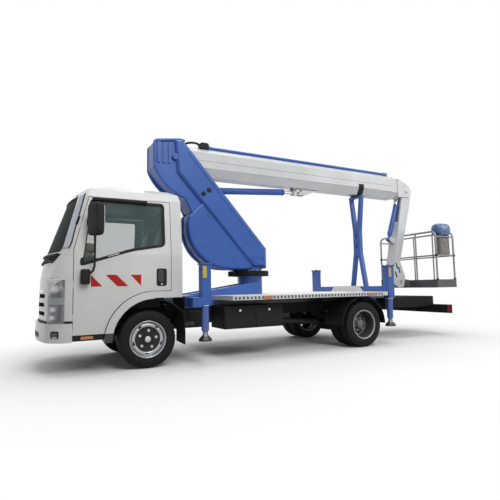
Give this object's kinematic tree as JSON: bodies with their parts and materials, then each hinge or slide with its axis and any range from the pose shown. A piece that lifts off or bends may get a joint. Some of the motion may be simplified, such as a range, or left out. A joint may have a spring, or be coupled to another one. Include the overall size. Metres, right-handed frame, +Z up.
{
  "type": "cherry picker truck",
  "caption": "Small cab-over truck with a slewing goose-neck arm, telescopic boom, hanging jib and railed work basket, with outrigger jacks and opening doors.",
  "frame": {"origin": "on the road under the middle of the truck's whole box", "axes": "+X forward along the truck, +Y to its left, +Z up"},
  "size_m": [7.0798, 2.21, 3.1358],
  "materials": {
    "cab_paint": "satin",
    "blue_paint": "gloss",
    "boom_paint": "satin",
    "pale_paint": "satin",
    "black_paint": "satin",
    "engine_metal": "rough",
    "dark_plastic": "matt",
    "grey_plastic": "matt",
    "lamp_glass": "gloss",
    "window_glass": "gloss",
    "seat_cloth": "woven",
    "tyre_rubber": "matt",
    "rim_paint": "satin",
    "bright_rod": "polished",
    "bright_steel": "brushed",
    "basket_metal": "satin"
  },
  "bodies": {
    "chassis": {"ladder_frame": "black_paint", "subframe": "blue_paint", "deck": "pale_paint", "slew_ring": "black_paint", "boom_rest": "blue_paint", "cab_back": "cab_paint", "cab_floor": "dark_plastic", "cab_front": "cab_paint", "cab_glass": "window_glass", "cab_roof": "cab_paint", "cab_sides": "cab_paint", "headlamps": "lamp_glass", "bumper": "cab_paint", "dashboard": "dark_plastic", "seats": "seat_cloth", "powertrain": "engine_metal", "front_axle": "black_paint", "rear_axle": "black_paint", "side_boxes": "dark_plastic", "mudguards": "dark_plastic", "rear_bar": "black_paint"},
    "knuckle_left": {"knuckle_left": "black_paint"},
    "wheel_front_left": {"tyre_front_left": "tyre_rubber", "rim_front_left": "rim_paint"},
    "wheels_rear_left": {"tyres_rear_left": "tyre_rubber", "rims_rear_left": "rim_paint"},
    "door_left": {"door_left": "cab_paint", "door_glass_left": "window_glass", "mirror_left": "dark_plastic"},
    "outrigger_left": {"outrigger_left": "blue_paint"},
    "jack_front_left": {"jack_front_left": "blue_paint"},
    "jack_rear_left": {"jack_rear_left": "blue_paint"},
    "knuckle_right": {"knuckle_right": "black_paint"},
    "wheel_front_right": {"tyre_front_right": "tyre_rubber", "rim_front_right": "rim_paint"},
    "wheels_rear_right": {"tyres_rear_right": "tyre_rubber", "rims_rear_right": "rim_paint"},
    "door_right": {"door_right": "cab_paint", "door_glass_right": "window_glass", "mirror_right": "dark_plastic"},
    "outrigger_right": {"outrigger_right": "blue_paint"},
    "jack_front_right": {"jack_front_right": "blue_paint"},
    "jack_rear_right": {"jack_rear_right": "blue_paint"},
    "turret": {"arm": "blue_paint"},
    "boom_base": {"boom_outer": "boom_paint", "boom_saddle": "dark_plastic", "boom_duct": "blue_paint"},
    "boom_middle": {"boom_mid": "boom_paint"},
    "boom_tip": {"boom_inner": "boom_paint"},
    "jib": {"jib": "boom_paint"},
    "level_drum": {"level_drum": "bright_steel"},
    "basket": {"basket_floor": "dark_plastic", "basket_frame": "basket_metal", "control_box": "grey_plastic", "control_hood": "blue_paint"},
    "lift_barrel": {"lift_barrel": "blue_paint"},
    "lift_rod": {"lift_rod": "bright_rod"},
    "jib_barrel": {"jib_barrel": "blue_paint"},
    "jib_rod": {"jib_rod": "bright_rod"}
  },
  "joints": [
    {"name": "steer_left", "type": "hinge", "parent": "chassis", "child": "knuckle_left", "pos_m": [2.33, 0.6, 0.345], "axis": [0, 0, 1], "range_deg": [-35, 35]},
    {"name": "spin_front_left", "type": "hinge", "parent": "knuckle_left", "child": "wheel_front_left", "pos_m": [2.33, 0.702, 0.345], "axis": [0, 1, 0], "continuous": true},
    {"name": "spin_rear_left", "type": "hinge", "parent": "chassis", "child": "wheels_rear_left", "pos_m": [-0.97, 0.732, 0.345], "axis": [0, 1, 0], "continuous": true},
    {"name": "open_door_left", "type": "hinge", "parent": "chassis", "child": "door_left", "pos_m": [3.179, 0.847, 1], "axis": [0, 0, -1], "range_deg": [0, 70]},
    {"name": "extend_outrigger_left", "type": "slide", "parent": "chassis", "child": "outrigger_left", "axis": [0, 1, 0], "range_m": [0, 0.5]},
    {"name": "lower_jack_front_left", "type": "slide", "parent": "outrigger_left", "child": "jack_front_left", "axis": [0, 0, -1], "range_m": [0, 0.4]},
    {"name": "lower_jack_rear_left", "type": "slide", "parent": "chassis", "child": "jack_rear_left", "axis": [0, 0, -1], "range_m": [0, 0.4]},
    {"name": "steer_right", "type": "hinge", "parent": "chassis", "child": "knuckle_right", "pos_m": [2.33, -0.6, 0.345], "axis": [0, 0, 1], "range_deg": [-35, 35]},
    {"name": "spin_front_right", "type": "hinge", "parent": "knuckle_right", "child": "wheel_front_right", "pos_m": [2.33, -0.702, 0.345], "axis": [0, 1, 0], "continuous": true},
    {"name": "spin_rear_right", "type": "hinge", "parent": "chassis", "child": "wheels_rear_right", "pos_m": [-0.97, -0.732, 0.345], "axis": [0, 1, 0], "continuous": true},
    {"name": "open_door_right", "type": "hinge", "parent": "chassis", "child": "door_right", "pos_m": [3.179, -0.847, 1], "axis": [0, 0, 1], "range_deg": [0, 70]},
    {"name": "extend_outrigger_right", "type": "slide", "parent": "chassis", "child": "outrigger_right", "axis": [0, -1, 0], "range_m": [0, 0.5]},
    {"name": "lower_jack_front_right", "type": "slide", "parent": "outrigger_right", "child": "jack_front_right", "axis": [0, 0, -1], "range_m": [0, 0.4]},
    {"name": "lower_jack_rear_right", "type": "slide", "parent": "chassis", "child": "jack_rear_right", "axis": [0, 0, -1], "range_m": [0, 0.4]},
    {"name": "slew", "type": "hinge", "parent": "chassis", "child": "turret", "pos_m": [0.52, 0, 1.2], "axis": [0, 0, 1], "range_deg": [-180, 180]},
    {"name": "raise_boom", "type": "hinge", "parent": "turret", "child": "boom_base", "pos_m": [1.8, 0, 2.85], "axis": [0, 1, 0], "range_deg": [0, 75]},
    {"name": "extend_middle", "type": "slide", "parent": "boom_base", "child": "boom_middle", "axis": [-1, 0, 0], "range_m": [0, 3.5]},
    {"name": "extend_tip", "type": "slide", "parent": "boom_middle", "child": "boom_tip", "axis": [-1, 0, 0], "range_m": [0, 3.5]},
    {"name": "raise_jib", "type": "hinge", "parent": "boom_tip", "child": "jib", "pos_m": [-2.99, 0, 2.8], "axis": [0, 1, 0], "range_deg": [0, 120]},
    {"name": "level_jib", "type": "hinge", "parent": "jib", "child": "level_drum", "pos_m": [-2.73, 0, 1.01], "axis": [0, 1, 0], "range_deg": [-120, 0]},
    {"name": "level_basket", "type": "hinge", "parent": "level_drum", "child": "basket", "pos_m": [-2.73, 0, 1.01], "axis": [0, 1, 0], "range_deg": [-75, 0]},
    {"name": "tilt_lift_barrel", "type": "hinge", "parent": "turret", "child": "lift_barrel", "pos_m": [1.29, 0, 2.43993], "axis": [0, 1, 0], "range_deg": [0, 78.07]},
    {"name": "stroke_lift_rod", "type": "slide", "parent": "lift_barrel", "child": "lift_rod", "axis": [-0.9973, 0, 0.0732], "range_m": [0, 0.7898]},
    {"name": "tilt_jib_barrel", "type": "hinge", "parent": "jib", "child": "jib_barrel", "pos_m": [-2.555, 0, 1.82982], "axis": [0, 1, 0], "range_deg": [0, 0.669]},
    {"name": "stroke_jib_rod", "type": "slide", "parent": "jib_barrel", "child": "jib_rod", "axis": [-0.3377, 0, 0.9413], "range_m": [0, 0.3067]}
  ],
  "couplings": [
    {"joint": "steer_right", "follows": "steer_left", "ratio": 1},
    {"joint": "extend_tip", "follows": "extend_middle", "ratio": 1},
    {"joint": "level_jib", "follows": "raise_jib", "ratio": -1},
    {"joint": "level_basket", "follows": "raise_boom", "ratio": -1},
    {"joint": "tilt_lift_barrel", "follows": "raise_boom", "ratio": 1.0402},
    {"joint": "stroke_lift_rod", "follows": "raise_boom", "m_per_rad": 0.60297},
    {"joint": "tilt_jib_barrel", "follows": "raise_jib", "ratio": 0.00516},
    {"joint": "stroke_jib_rod", "follows": "raise_jib", "m_per_rad": 0.14621}
  ]
}
